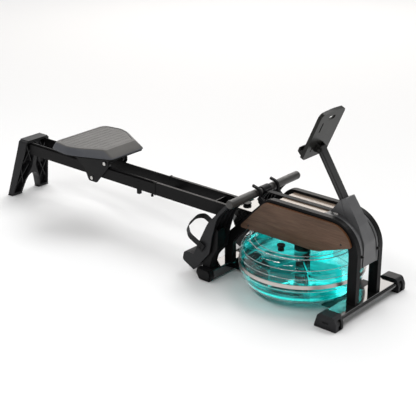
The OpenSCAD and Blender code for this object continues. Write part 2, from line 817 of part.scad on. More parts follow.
// The cross-section of a rail, in y and z; the rear length has a stepped edge and a top groove
module rail_section(grooved) {
  track = rail_inner + 4.5;
  groove_floor = rail_top - 20;
  difference() {
    polygon(grooved
      ? [[rail_inner, rail_bottom], [rail_outer, rail_bottom], [rail_outer, rail_top - 9],
         [rail_outer - 3, rail_top - 9], [rail_outer - 3, groove_floor], [track, groove_floor],
         [track, rail_top], [rail_inner, rail_top]]
      : [[rail_inner, rail_bottom], [rail_outer, rail_bottom], [rail_outer, rail_top],
         [rail_inner, rail_top]]);
    translate([rail_inner + wall, rail_bottom + wall])
      square([rail_width - 2 * wall, (grooved ? groove_floor : rail_top) - rail_bottom - 2 * wall]);
  }
}

// Each rail is two lengths of tube butted together over an inner splice
module rail(side) {
  color(black_paint) from_front() on_side(side) {
    along_x(rail_seam_x, rail_front_x) rail_section(false);
    along_x(rail_seam_x, rail_seam_x + 6) difference() {
      translate([rail_inner, rail_bottom - 2]) square([rail_width + 2, rail_height + 4]);
      translate([rail_inner - 1, rail_bottom]) square([rail_width + 1, rail_height]);
    }
    along_x(rail_rear_x, rail_seam_x - 1.5) rail_section(true);
    translate([rail_seam_x - 60, rail_inner + wall, rail_bottom + wall])
      cube([120, rail_width - 2 * wall, rail_height - 20 - 2 * wall]);
    translate([rail_front_x - 3, rail_inner, rail_bottom]) cube([3, rail_width, rail_height]);
  }
}

// Lugs under the rails that end the seat's travel, and the cross-bars between the rails
module rail_stops() {
  color(soft_black) from_front() {
    both_sides() for (x = [-1222, -1890])
      translate([x - 8, rail_inner - 3, rail_bottom - 22]) cube([16, 15, 22]);
    for (x = [-1080, -1900])
      translate([x - 15, -rail_inner, rail_bottom + 2]) cube([30, 2 * rail_inner, 10]);
  }
}

module seam_pin() {
  color(soft_black) from_front() translate([seam_pin_x, -rail_inner - 6, 0]) {
    translate([0, 0, rail_bottom - 6]) cylinder(r = 4, h = 5.8);
    translate([0, 0, rail_bottom - 15]) cylinder(r = 6, h = 9);
  }
}

// ---- rear stand ----

stand_top = 292;
stand_front = [[-60, stand_top, 3], [60, stand_top, 3], [72, 284, 8], [79, 235, 60], [117, 4, 4],
               [57, 4, 3], [38, 70, 60], [0, 140, 34], [-38, 70, 60], [-57, 4, 3], [-117, 4, 4],
               [-79, 235, 60], [-72, 284, 8]];
stand_pocket_left = [[12, 280, 6], [64, 280, 6], [72, 235, 50], [108, 12, 3], [65, 12, 3],
                     [46, 72, 60], [12, 140, 20]];

// The stand leans back from the ends of the rails to its feet
function stand_lean(z) = (stand_top - z) * 81 / stand_top;

module stand_block(front_inset, low, high) {
  back = -overall_length;
  along_y(-130, 130) polygon([
    [back + 114 - stand_lean(low) - front_inset, low], [back + 114 - stand_lean(high) - front_inset, high],
    [back + 57 - 57 * (stand_top - high) / stand_top, high],
    [back + 57 - 57 * (stand_top - low) / stand_top, low]]);
}

module rear_stand() {
  back = -overall_length;
  color(charcoal) from_front() {
    difference() {
      intersection() {
        along_x(back, back + 120) polygon(rounded(stand_front));
        stand_block(0, 4, stand_top);
      }
      both_sides() intersection() {
        along_x(back, back + 120) polygon(rounded(stand_pocket_left));
        translate([6, 0, 0]) stand_block(-20, 4, stand_top);
      }
    }
    both_sides() intersection() {
      along_x(back, back + 120) for (rib = [[[20, 274], [72, 170]], [[66, 274], [22, 170]],
                                            [[34, 160], [92, 60]], [[84, 160], [56, 60]]])
        strip([[rib[0][0], rib[0][1], 0], [rib[1][0], rib[1][1], 0]], 4);
      stand_block(4, 4, stand_top);
      along_x(back, back + 120) polygon(rounded(stand_front));
    }
    translate([back + 56, -62, stand_top - 2]) cube([59, 124, 4]);
  }
}

module stand_feet() {
  back = -overall_length;
  color(soft_black) from_front() both_sides()
    translate([back, 55, 0]) cube([34, 64, 4]);
}

// ---- seat ----

// Half outline of the seat, shrunk by inset
function seat_edge(inset, front) =
  let (wide = seat_width / 2 - inset)
  [[front, -wide * 0.55, 22], [seat_x + 20, -wide * 0.9, 160], [-1548, -wide, 90],
   [-1672 + inset * 1.6, -wide * 0.9, 34], [-1672 + inset * 1.6, wide * 0.9, 34], [-1548, wide, 90],
   [seat_x + 20, wide * 0.9, 160], [front, wide * 0.55, 22]];

module seat_pad() {
  color("#8a8884") from_front() hull() {
    translate([0, 0, 350.5]) linear_extrude(5) polygon(rounded(seat_edge(0, -1334)));
    translate([0, 0, seat_top - 6]) linear_extrude(2) polygon(rounded(seat_edge(10, -1378)));
    translate([0, 0, seat_top - 2]) linear_extrude(2) polygon(rounded(seat_edge(18, -1388)));
  }
}

module seat_base() {
  color(soft_black) from_front() {
    translate([0, 0, 344]) linear_extrude(6) polygon(rounded(seat_edge(5, -1338)));
    translate([-1630, -rail_outer - 7, 338]) cube([228, 2 * rail_outer + 14, 6]);
  }
}

plate_outline = [[-1630, 338, 0], [-1630, 294, 16], [-1563, 250, 20], [-1536, 194, 14],
                 [-1484, 194, 16], [-1446, 238, 30], [-1402, 288, 16], [-1402, 338, 0]];

module carriage_plates() {
  color(soft_black) from_front() both_sides() {
    difference() {
      along_y(rail_outer + 2.5, rail_outer + 6.5) polygon(rounded(plate_outline));
      for (spot = [[front_roller_x, roller_z], [rear_roller_x, roller_z], [guide_x, guide_z]])
        bar_y(spot[0], spot[1], seat_bolt_radius, rail_outer, rail_outer + 20);
    }
    for (spot = [[front_roller_x, roller_z], [rear_roller_x, roller_z]])
      bar_y(spot[0], spot[1], 8.5, rail_outer + 6.5, rail_outer + 12);
    bar_y(guide_x, guide_z, seat_bolt_radius, rail_inner, rail_outer + 6.5);
    bar_y(guide_x, guide_z, 8.5, rail_outer + 6.5, rail_outer + 12);
    bar_y(guide_x, guide_z, guide_radius, rail_inner + 3, rail_outer + 1);
  }
}

// A pair of rollers on one axle, which run on top of the rails
module rollers(x) {
  color(soft_black) from_front() {
    both_sides() bar_y(x, roller_z, roller_radius, rail_inner - 6, rail_outer);
    bar_y(x, roller_z, seat_bolt_radius - running, -rail_outer - 6, rail_outer + 6);
  }
}

front_crossbeam();
front_cap(1);  // front_cap_left
front_cap(-1);  // front_cap_right
transport_wheel(1);  // transport_wheel_left
transport_wheel(-1);  // transport_wheel_right
wheel_axles();
rear_crossbeam();
rear_base_caps();
tank_tray();
hoop(1);  // hoop_left
hoop(-1);  // hoop_right
side_panel(1);  // side_panel_left
side_panel(-1);  // side_panel_right
panel_screws();
top_panel();
shroud();
neck_cover();
shroud_bolts();
console_post();
post_cap();
tilt_pin();
phone_holder();
tank_lower();
tank_upper();
tank_band();
tank_column();
tank_plug();
water();
impeller();
impeller_shaft();
strap_drum();
idler_roller();
idler_axle();
pull_strap();
strap_tail();
handle_bar();
handle_grips();
strap_clamp();
handle_hooks();
pedal(1);  // pedal_left
pedal(-1);  // pedal_right
foot_strap(1);  // foot_strap_left
foot_strap(-1);  // foot_strap_right
strap_buckles();
pedal_brackets();
head_bracket();
fold_pin();
lock_knob();
rail_nose();
rail(1);  // rail_left
rail(-1);  // rail_right
rail_stops();
seam_pin();
rear_stand();
stand_feet();
seat_pad();
seat_base();
carriage_plates();
rollers(front_roller_x);  // front_rollers
rollers(rear_roller_x);  // rear_rollers
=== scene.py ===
import math

import bpy
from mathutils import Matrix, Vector


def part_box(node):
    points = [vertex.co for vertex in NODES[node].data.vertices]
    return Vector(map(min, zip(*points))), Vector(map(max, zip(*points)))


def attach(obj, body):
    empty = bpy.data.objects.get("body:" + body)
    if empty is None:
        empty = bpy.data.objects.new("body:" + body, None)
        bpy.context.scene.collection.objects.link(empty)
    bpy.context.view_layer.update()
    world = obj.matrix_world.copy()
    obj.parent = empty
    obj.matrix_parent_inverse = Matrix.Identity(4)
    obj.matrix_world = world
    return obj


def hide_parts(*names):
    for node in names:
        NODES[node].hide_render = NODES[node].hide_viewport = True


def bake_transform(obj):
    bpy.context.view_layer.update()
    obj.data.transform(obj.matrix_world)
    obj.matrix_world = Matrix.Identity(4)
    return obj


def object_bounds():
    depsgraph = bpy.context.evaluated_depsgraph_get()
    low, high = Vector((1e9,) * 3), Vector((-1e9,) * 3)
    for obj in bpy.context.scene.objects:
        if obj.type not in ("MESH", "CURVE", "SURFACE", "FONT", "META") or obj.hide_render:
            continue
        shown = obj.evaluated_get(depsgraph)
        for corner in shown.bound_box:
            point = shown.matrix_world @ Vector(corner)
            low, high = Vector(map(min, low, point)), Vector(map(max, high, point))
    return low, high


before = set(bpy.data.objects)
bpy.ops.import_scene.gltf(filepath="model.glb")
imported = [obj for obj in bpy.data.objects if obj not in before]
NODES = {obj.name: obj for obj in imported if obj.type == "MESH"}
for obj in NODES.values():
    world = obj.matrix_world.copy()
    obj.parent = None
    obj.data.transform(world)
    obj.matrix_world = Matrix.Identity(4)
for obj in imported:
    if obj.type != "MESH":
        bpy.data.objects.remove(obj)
CAD_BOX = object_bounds()

# ---- places ----

FRONT = CAD_BOX[1].x                     # front edge of the base, m
TANK_X = -344                            # centre of the tank, mm from the front edge


def place(x, y, z):
    """A point given in millimetres from the front edge of the base, as a vector in metres."""
    return Vector((FRONT + x / 1000, y / 1000, z / 1000))


def low_of(node):
    """The lowest corner of a CAD node's box."""
    return Vector(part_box(node)[0])


def high_of(node):
    """The highest corner of a CAD node's box."""
    return Vector(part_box(node)[1])


def put(name, data, location=(0, 0, 0), direction=None):
    """Adds an object to the scene; a camera or light is aimed along its direction."""
    thing = bpy.data.objects.new(name, data)
    thing.location = location
    if direction is not None:
        thing.rotation_euler = Vector(direction).to_track_quat("-Z", "Y").to_euler()
    bpy.context.scene.collection.objects.link(thing)
    return thing


# ---- camera, light and floor ----

CAMERA_PLACE = (3.095, -3.405, 2.039)
CAMERA_DIRECTION = (-0.6021, 0.7037, -0.3772)
CAMERA_LENS = 96.12                      # mm, on a sensor 36 mm wide
FLOOR_HALF = 40
FLOOR_GREY = 0.86
WORLD_STRENGTH = 0.22


def add_camera():
    """The camera stands in front of the tank and looks back along the rails."""
    data = bpy.data.cameras.new("camera")
    data.lens = CAMERA_LENS
    data.sensor_width = 36
    data.clip_end = 100
    bpy.context.scene.camera = put("camera", data, CAMERA_PLACE, CAMERA_DIRECTION)


def add_area(name, spot, target, size, power, colour=(1, 1, 1), length=None):
    """A flat lamp at a spot, facing a target; it is square unless a length is given."""
    data = bpy.data.lights.new(name, "AREA")
    data.shape = "RECTANGLE"
    data.size = size
    data.size_y = length or size
    data.energy = power
    data.color = colour
    put(name, data, spot, Vector(target) - Vector(spot))


def add_sun(name, strength, spread, direction):
    """Light from far away; spread is how wide it looks in degrees, which softens its shadows."""
    data = bpy.data.lights.new(name, "SUN")
    data.energy = strength
    data.angle = math.radians(spread)
    put(name, data, direction=direction)


def add_floor():
    half = FLOOR_HALF
    mesh = bpy.data.meshes.new("floor")
    mesh.from_pydata([(-half, -half, 0), (half, -half, 0), (half, half, 0), (-half, half, 0)],
                     [], [(0, 1, 2, 3)])
    floor = put("floor", mesh)
    material = bpy.data.materials.new("floor")
    material.use_nodes = True
    bsdf = material.node_tree.nodes["Principled BSDF"]
    bsdf.inputs["Base Color"].default_value = (FLOOR_GREY, FLOOR_GREY, FLOOR_GREY, 1)
    bsdf.inputs["Roughness"].default_value = 0.9
    bsdf.inputs["Specular IOR Level"].default_value = 0.0
    mesh.materials.append(material)


def add_lights():
    """Soft light from above and behind, a low warm panel behind the object, a long narrow lamp
    above the tank and a weak lamp in front."""
    world = bpy.data.worlds.new("studio")
    world.use_nodes = True
    background = world.node_tree.nodes["Background"]
    background.inputs["Color"].default_value = (1, 1, 1, 1)
    background.inputs["Strength"].default_value = WORLD_STRENGTH
    bpy.context.scene.world = world

    add_sun("sky", 1.25, 34, (-0.10, -0.62, -1.0))
    add_sun("sky_left", 1.62, 70, (0.80, -0.62, -1.0))
    add_area("panel_behind", (-2.9, 4.5, 2.45), (0.6, 0, 0.2), 3.4, 40, (1.0, 0.91, 0.83),
             length=1.9)
    add_area("strip_above", (0.1, -1.9, 2.3), (0.69, -0.1, 0.2), 4.2, 36, length=0.13)
    add_area("fill_front", (4.2, 1.6, 1.3), (0.5, 0, 0.4), 1.6, 38)
    bpy.context.scene.view_settings.view_transform = "Standard"


# ---- materials ----

BLACK = (0, 0, 0)
WHITE = (1, 1, 1)


def grey(level):
    return (level, level, level)


class Maker:
    """A node material under construction, with short calls for the nodes used here."""

    def __init__(self, name):
        self.material = bpy.data.materials.new(name)
        self.material.use_nodes = True
        self.tree = self.material.node_tree
        self.bsdf = self.tree.nodes["Principled BSDF"]
        self.coordinates = self.add("ShaderNodeTexCoord").outputs["Object"]

    # the shader's own sockets

    def set(self, **values):
        for key, value in values.items():
            self.bsdf.inputs[key.replace("_", " ")].default_value = value

    def wire(self, output, socket):
        self.link(output, self.bsdf.inputs[socket])

    def colour(self, output):
        self.wire(output, "Base Color")

    def roughness(self, output):
        self.wire(output, "Roughness")

    def normal(self, output):
        self.wire(output, "Normal")

    # nodes

    def add(self, kind, **values):
        """A new node; each value goes to the input of that name, or else to the property."""
        node = self.tree.nodes.new(kind)
        for key, value in values.items():
            if key in node.inputs:
                node.inputs[key].default_value = value
            else:
                setattr(node, key, value)
        return node

    def link(self, source, target):
        self.tree.links.new(source, target)

    def feed(self, value, socket):
        """Links an output to a socket, or sets the socket to a fixed value."""
        if isinstance(value, bpy.types.NodeSocket):
            self.link(value, socket)
        else:
            socket.default_value = value

    def geometry(self, name):
        return self.add("ShaderNodeNewGeometry").outputs[name]

    def axes(self, vector):
        node = self.add("ShaderNodeSeparateXYZ")
        self.link(vector, node.inputs["Vector"])
        return node.outputs

    def stretched(self, scale):
        mapping = self.add("ShaderNodeMapping")
        mapping.inputs["Scale"].default_value = scale
        self.link(self.coordinates, mapping.inputs["Vector"])
        return mapping.outputs["Vector"]

    def noise(self, scale, detail=3.0, roughness=0.55, vector=None, distortion=0.0):
        node = self.add("ShaderNodeTexNoise", Scale=scale, Detail=detail, Roughness=roughness,
                        Distortion=distortion)
        self.link(vector or self.coordinates, node.inputs["Vector"])
        return node.outputs["Fac"]

    def stipple(self, scale):
        node = self.add("ShaderNodeTexVoronoi", Scale=scale)
        self.link(self.coordinates, node.inputs["Vector"])
        return node.outputs["Distance"]

    def wave(self, direction, scale, vector):
        node = self.add("ShaderNodeTexWave", wave_type="BANDS", bands_direction=direction,
                        Scale=scale)
        self.link(vector, node.inputs["Vector"])
        return node.outputs["Fac"]

    def ramp(self, fac, stops):
        node = self.add("ShaderNodeValToRGB")
        elements = node.color_ramp.elements
        while len(elements) < len(stops):
            elements.new(0.5)
        for element, (position, colour) in zip(elements, stops):
            element.position = position
            element.color = (*colour, 1)
        self.link(fac, node.inputs["Fac"])
        return node.outputs["Color"]

    def spread(self, value, low=0.0, high=1.0, start=0.0, end=1.0):
        """Maps a value from start to end onto low to high."""
        node = self.add("ShaderNodeMapRange")
        node.inputs["From Min"].default_value = start
        node.inputs["From Max"].default_value = end
        node.inputs["To Min"].default_value = low
        node.inputs["To Max"].default_value = high
        self.link(value, node.inputs["Value"])
        return node.outputs["Result"]

    def calculate(self, operation, value, other=None):
        """One operation on one or two numbers."""
        node = self.add("ShaderNodeMath", operation=operation)
        self.feed(value, node.inputs[0])
        if other is not None:
            self.feed(other, node.inputs[1])
        return node.outputs[0]

    def measure(self, operation, vector, other):
        """One operation on two vectors that gives a number."""
        node = self.add("ShaderNodeVectorMath", operation=operation)
        self.feed(vector, node.inputs[0])
        self.feed(other, node.inputs[1])
        return node.outputs["Value"]

    def mix(self, blend, first, second, factor=1.0):
        """Mixes two colours; each input is an output of another node or a fixed value."""
        node = self.add("ShaderNodeMix", data_type="RGBA", blend_type=blend)
        self.feed(factor, node.inputs[0])
        self.feed(first, node.inputs[6])
        self.feed(second, node.inputs[7])
        return node.outputs[2]

    def bump(self, height, distance, strength=1.0, under=None):
        node = self.add("ShaderNodeBump", Strength=strength, Distance=distance)
        self.link(height, node.inputs["Height"])
        if under is not None:
            self.link(under, node.inputs["Normal"])
        return node.outputs["Normal"]


def grainy(name, dark, light, rough, grain, depth, **sockets):
    """A moulded or coated surface: fine grain, slight cloudiness in colour and in gloss."""
    m = Maker(name)
    m.colour(m.ramp(m.noise(7.0, 4.0), [(0.3, dark), (0.7, light)]))
    m.roughness(m.spread(m.noise(23.0, 5.0), *rough))
    m.normal(m.bump(m.noise(grain, 2.0), depth, 0.7))
    m.set(**sockets)
    return m.material


def powder_coat():
    """Near-black coating with a fine orange-peel, on the tubes and rails."""
    return grainy("powder_coat", (0.0045, 0.0045, 0.0048), (0.0075, 0.0072, 0.0075),
                  (0.34, 0.46), grain=1400.0, depth=0.00004, Specular_IOR_Level=0.10)


def gloss_black():
    """Polished black of the flat plates, which mirror the room."""
    return grainy("gloss_black", grey(0.006), grey(0.010), (0.09, 0.15), grain=500.0,
                  depth=0.00001, Specular_IOR_Level=0.6, Coat_Weight=0.6, Coat_Roughness=0.06)


def charcoal_plastic():
    """Matt dark plastic of the caps, pedals and stand."""
    return grainy("charcoal_plastic", (0.014, 0.014, 0.015), (0.021, 0.021, 0.023),
                  (0.42, 0.54), grain=1100.0, depth=0.00008, Specular_IOR_Level=0.18)


def holder_plastic():
    """Satin dark plastic with a warm cast, shinier than the pedals."""
    return grainy("holder_plastic", (0.010, 0.010, 0.009), (0.016, 0.016, 0.014), (0.26, 0.34),
                  grain=1300.0, depth=0.00005, Specular_IOR_Level=0.16)


def black_plastic():
    """Black plastic of the small parts."""
    return grainy("black_plastic", (0.0045, 0.0045, 0.005), (0.0085, 0.0085, 0.009),
                  (0.34, 0.46), grain=1000.0, depth=0.00006, Specular_IOR_Level=0.12)


def rubber():
    """Dull black rubber of the wheels, plug and feet."""
    return grainy("rubber", grey(0.009), grey(0.016), (0.62, 0.76), grain=700.0, depth=0.0001,
                  Specular_IOR_Level=0.25)


def grey_cover():
    """Satin grey moulded cover."""
    return grainy("grey_cover", (0.085, 0.085, 0.088), (0.115, 0.115, 0.117), (0.34, 0.44),
                  grain=1500.0, depth=0.00005, Metallic=0.2, Specular_IOR_Level=0.4)


def post_finish():
    """Dark satin tube of the console post."""
    return grainy("post_finish", (0.040, 0.040, 0.041), (0.055, 0.054, 0.054), (0.30, 0.40),
                  grain=1200.0, depth=0.00005, Metallic=0.3, Specular_IOR_Level=0.25)


def walnut(name, dark, light, flat_axis, gloss, coat):
    """Walnut veneer with long fine grain along the machine. Faces that don't face along the
    flat axis are the bevelled rim, which is redder."""
    m = Maker(name)
    wander = m.noise(2.4, 5.0, 0.55, m.stretched((1.2, 5.0, 11.0)), 0.8)
    fine = m.noise(30.0, 7.0, 0.72, m.stretched((0.45, 6.0, 8.0)), 0.2)
    pores = m.noise(150.0, 3.0, 0.6, m.stretched((0.35, 6.0, 8.0)))
    base = m.ramp(wander, [(0.32, dark), (0.66, light)])
    streak = m.ramp(fine, [(0.32, (0.70, 0.69, 0.68)), (0.66, (1.12, 1.11, 1.10))])
    facing = m.calculate("ABSOLUTE", m.axes(m.geometry("True Normal"))[flat_axis])
    rim = (0.160, 0.072, 0.034, 1)
    m.colour(m.mix("MIX", m.mix("MULTIPLY", base, streak), rim, m.spread(facing, 1.0, 0.0)))
    m.roughness(m.spread(fine, gloss, gloss + 0.1))
    m.normal(m.bump(pores, 0.00010, 0.4))
    m.set(Coat_Weight=coat, Coat_Roughness=0.14, Specular_IOR_Level=0.15)
    return m.material


def brushed(name, colour, rough=0.3):
    """Brushed steel with fine scratches round the tank."""
    m = Maker(name)
    scratch = m.noise(60.0, 5.0, 0.7, m.stretched((1.0, 1.0, 60.0)))
    m.colour(m.ramp(scratch, [(0.2, [c * 0.82 for c in colour]), (0.8, colour)]))
    m.roughness(m.spread(scratch, rough - 0.08, rough + 0.1))
    m.normal(m.bump(scratch, 0.00005, 0.5))
    m.set(Metallic=1.0)
    return m.material


def dark_steel():
    """Dark oiled steel of the pins, axles and screws."""
    m = Maker("dark_steel")
    m.colour(m.ramp(m.noise(80.0), [(0.3, grey(0.02)), (0.7, (0.06, 0.058, 0.055))]))
    m.roughness(m.spread(m.noise(300.0), 0.25, 0.42))
    m.set(Metallic=0.8)
    return m.material


def bolted_plate(name, reach):
    """Black plate whose bolt heads, further from the centre plane than reach, are bright steel."""
    m = Maker(name)
    away = m.calculate("ABSOLUTE", m.axes(m.coordinates)["Y"])
    head = m.calculate("GREATER_THAN", away, reach)
    paint = m.ramp(m.noise(9.0), [(0.3, (0.006, 0.006, 0.007)), (0.7, grey(0.011))])
    m.colour(m.mix("MIX", paint, (0.55, 0.54, 0.52, 1), head))
    m.wire(head, "Metallic")
    m.roughness(m.spread(m.noise(40.0), 0.26, 0.38))
    m.normal(m.bump(m.noise(1200.0), 0.00004, 0.6))
    m.set(Specular_IOR_Level=0.12)
    return m.material


def clear_shell():
    """Clear polycarbonate, with a faint cloudiness."""
    m = Maker("clear_shell")
    m.colour(m.ramp(m.noise(5.0), [(0.3, (0.93, 0.98, 0.98)), (0.7, (0.98, 1.0, 1.0))]))
    m.normal(m.bump(m.noise(5.0, 1.0), 0.0003, 0.1))
    m.roughness(m.spread(m.noise(14.0), 0.0, 0.02))
    m.set(Transmission_Weight=1.0, IOR=1.12, Coat_Weight=0.45, Coat_Roughness=0.01)
    return m.material


def shell_rim():
    """Thicker clear beads of the tank, which gather light."""
    m = Maker("shell_rim")
    m.colour(m.ramp(m.noise(8.0), [(0.3, (0.80, 0.93, 0.93)), (0.7, (0.95, 1.0, 1.0))]))
    m.roughness(m.spread(m.noise(30.0), 0.04, 0.12))
    m.set(Transmission_Weight=0.75, IOR=1.5, Coat_Weight=1.0, Coat_Roughness=0.03)
    return m.material


def cyan_water():
    """Clear water tinted cyan. Painted light: it glows faintly in level streaks, and a painted
    highlight glows in two level lines low down on the camera's side of the tank."""
    m = Maker("cyan_water")
    axes = m.axes(m.coordinates)
    swirl = m.noise(4.2, 3.0, 0.5, m.stretched((1.0, 1.0, 1.6)), 0.9)
    m.colour(m.ramp(swirl, [(0.34, (0.03, 0.50, 0.50)), (0.50, (0.10, 0.80, 0.79)),
                            (0.64, (0.28, 0.98, 0.96))]))
    # painted light: level streaks of cyan glow in the water
    streak = m.noise(1.0, 2.0, 0.5, m.stretched((5.0, 5.0, 42.0)), 0.4)
    painted_glow_streaks = m.ramp(streak, [(0.57, BLACK), (0.62, (0.0, 0.55, 0.52)),
                              (0.68, (0.03, 1.0, 0.95))])
    # painted highlight: two glowing level lines, kept to the camera's side of the tank
    lines = m.ramp(axes["Z"], [(0.046, BLACK), (0.051, WHITE), (0.058, WHITE), (0.066, BLACK),
                               (0.088, BLACK), (0.093, grey(0.7)), (0.098, BLACK)])
    near_side = m.spread(axes["Y"], start=-0.12, end=-0.19)
    painted_gleam = m.mix("MULTIPLY", m.mix("MULTIPLY", lines, near_side), (0.06, 2.6, 2.4, 1))
    m.wire(m.mix("ADD", painted_glow_streaks, painted_gleam), "Emission Color")
    m.set(Emission_Strength=0.30, Transmission_Weight=1.0, IOR=1.07, Roughness=0.0)
    m.normal(m.bump(m.noise(15.0, 2.0), 0.002, 0.2))
    return m.material


def paddle_plastic():
    """Black hub with clear cyan blades. Painted light: the blades glow in uneven patches, and the
    blades on the side towards the front of the machine and higher up glow the brighter."""
    hub_radius = 0.036
    painted_light_way = Vector((0.76, 0.65, 1.3))
    m = Maker("paddle_plastic")
    centre = low_of("impeller").lerp(high_of("impeller"), 0.5)
    axes = m.axes(m.coordinates)
    level = m.add("ShaderNodeCombineXYZ")
    m.link(axes["X"], level.inputs["X"])
    m.link(axes["Y"], level.inputs["Y"])
    away = m.measure("DISTANCE", level.outputs["Vector"], (centre.x, centre.y, 0))
    blade = m.calculate("GREATER_THAN", away, hub_radius)
    middle = painted_light_way.dot(centre)
    # painted light: the blades' glow grows from dim to bright cyan towards the front of the
    # machine and upwards
    reach = m.spread(m.measure("DOT_PRODUCT", m.coordinates, painted_light_way),
                     start=middle - 0.09, end=middle + 0.13)
    painted_glow = m.ramp(reach, [(0.0, (0.0, 0.05, 0.05)), (0.45, (0.0, 0.22, 0.21)),
                          (0.62, (0.03, 0.80, 0.76)), (1.0, (0.16, 1.0, 0.96))])
    cloud = m.noise(9.0, 2.0, 0.5, m.stretched((1.0, 1.0, 0.4)))
    painted_glow_patches = m.mix("MULTIPLY", painted_glow, m.ramp(cloud, [(0.35, grey(0.45)), (0.60, WHITE)]))
    # painted light: only the blades glow; the hub stays black
    m.wire(m.mix("MIX", (0, 0, 0, 1), painted_glow_patches, blade), "Emission Color")
    m.colour(m.mix("MIX", (0.006, 0.006, 0.006, 1), (0.01, 0.28, 0.28, 1), blade))
    m.set(Emission_Strength=1.0, Roughness=0.3)
    return m.material


def webbing(name, colour):
    """Woven strap: ribs across it and a twill running up its length, laid out on the strap's own
    length and width."""
    m = Maker(name)
    own = m.add("ShaderNodeTexCoord").outputs["UV"]
    ribs = m.wave("X", 150.0, own)
    twill = m.wave("DIAGONAL", 190.0, own)
    m.colour(m.ramp(twill, [(0.2, [c * 0.55 for c in colour]), (0.8, [c * 1.8 for c in colour])]))
    m.normal(m.bump(ribs, 0.0004, 0.6, m.bump(twill, 0.0002, 0.5)))
    m.roughness(m.spread(m.noise(300.0), 0.68, 0.85))
    m.set(Sheen_Weight=0.15, Sheen_Roughness=0.4, Specular_IOR_Level=0.25)
    return m.material


def grip_rubber():
    """Soft moulded grip with a stippled surface."""
    m = Maker("grip_rubber")
    m.colour(m.ramp(m.noise(9.0, 5.0), [(0.3, (0.030, 0.028, 0.026)),
                                        (0.7, (0.050, 0.047, 0.044))]))
    m.normal(m.bump(m.stipple(420.0), 0.0004, 0.6))
    m.roughness(m.spread(m.noise(40.0), 0.34, 0.48))
    m.set(Specular_IOR_Level=0.4)
    return m.material


def seat_skin():
    """Grained grey foam skin. Painted light: the colour is lighter on top and darker down the
    sides, by which way each face points, with a painted highlight line along the rounded edge of
    the top."""
    m = Maker("seat_skin")
    upward = m.axes(m.geometry("Normal"))["Z"]
    # painted shade and highlight: colour set by how far each face points up, with dark bluish
    # sides, a lighter top and a bright band where the rounded top edge turns
    painted_shade_and_highlight = m.ramp(upward, [(0.30, (0.085, 0.089, 0.100)), (0.70, (0.088, 0.090, 0.098)),
                            (0.80, (0.092, 0.089, 0.085)), (0.88, (0.098, 0.094, 0.089)),
                            (0.91, (0.185, 0.180, 0.172)), (0.96, (0.138, 0.135, 0.130))])
    cloud = m.ramp(m.noise(12.0, 6.0), [(0.3, grey(0.88)), (0.7, (1.06, 1.05, 1.04))])
    m.colour(m.mix("MULTIPLY", painted_shade_and_highlight, cloud))
    m.normal(m.bump(m.stipple(620.0), 0.0003, 0.5))
    m.roughness(m.spread(m.noise(60.0), 0.46, 0.6))
    m.set(Specular_IOR_Level=0.18)
    return m.material


BOLT_HEADS_FROM = 0.0627                 # m from the centre plane, on the carriage plates


def dress(material, *names):
    """Gives CAD nodes a material."""
    for name in names:
        mesh = NODES[name].data
        mesh.materials.clear()
        mesh.materials.append(material)


def dress_nodes():
    dress(powder_coat(), "tank_tray", "hoop_left", "hoop_right", "pedal_brackets", "rail_nose",
          "rail_left", "rail_right", "handle_bar", "handle_hooks")
    dress(gloss_black(), "front_crossbeam", "rear_crossbeam", "head_bracket")
    dress(bolted_plate("carriage_plate", BOLT_HEADS_FROM), "carriage_plates")
    dress(charcoal_plastic(), "front_cap_left", "front_cap_right", "pedal_left", "pedal_right",
          "rear_stand")
    dress(holder_plastic(), "phone_holder")
    dress(black_plastic(), "rear_base_caps", "post_cap", "tank_column", "strap_drum",
          "idler_roller", "strap_clamp", "strap_buckles", "lock_knob", "rail_stops", "seam_pin",
          "seat_base", "front_rollers", "rear_rollers")
    dress(grey_cover(), "shroud", "neck_cover")
    dress(post_finish(), "console_post")
    dress(dark_steel(), "wheel_axles", "panel_screws", "shroud_bolts", "tilt_pin", "fold_pin")
    dress(rubber(), "transport_wheel_left", "transport_wheel_right", "tank_plug", "stand_feet")
    dress(walnut("walnut_side", (0.098, 0.056, 0.036), (0.150, 0.088, 0.058), "Y", 0.34, 0.10),
          "side_panel_left", "side_panel_right")
    # painted reflection: the top panel gets a lighter copy of the side panels' walnut, standing in
    # for the bright sky its top reflects
    dress(walnut("walnut_top_painted_light", (0.20, 0.15, 0.115), (0.34, 0.27, 0.215), "Z", 0.22, 0.5),
          "top_panel")
    dress(brushed("band_steel", (0.62, 0.56, 0.53)), "tank_band")
    dress(brushed("shaft_steel", (0.5, 0.5, 0.5), 0.25), "impeller_shaft", "idler_axle")
    dress(clear_shell(), "tank_lower", "tank_upper")
    dress(cyan_water(), "water")
    dress(paddle_plastic(), "impeller")
    dress(grip_rubber(), "handle_grips")


EDGE_WIDTHS = {                          # m, for the hard parts whose edges are rounded
    0.005: ("side_panel_left", "side_panel_right"),
    0.002: ("front_cap_left", "front_cap_right", "rear_base_caps", "hoop_left", "hoop_right",
            "neck_cover", "rear_stand"),
    0.0018: ("phone_holder", "pedal_left", "pedal_right"),
    0.0015: ("top_panel", "console_post"),
    0.0012: ("rail_left", "rail_right", "shroud"),
    0.001: ("front_crossbeam",),
}


def soften_edges():
    """Small rounded edges on the hard parts, as moulded and bent pieces have."""
    for width, names in EDGE_WIDTHS.items():
        for name in names:
            bevel = NODES[name].modifiers.new("edge", "BEVEL")
            bevel.width = width
            bevel.segments = 2
            bevel.limit_method = "ANGLE"
            bevel.angle_limit = math.radians(40)
            bevel.harden_normals = False


# ---- outlines and meshes ----

CORNER_STEPS = 8
PATH_SPACING = 4.0                       # mm between the points of a path


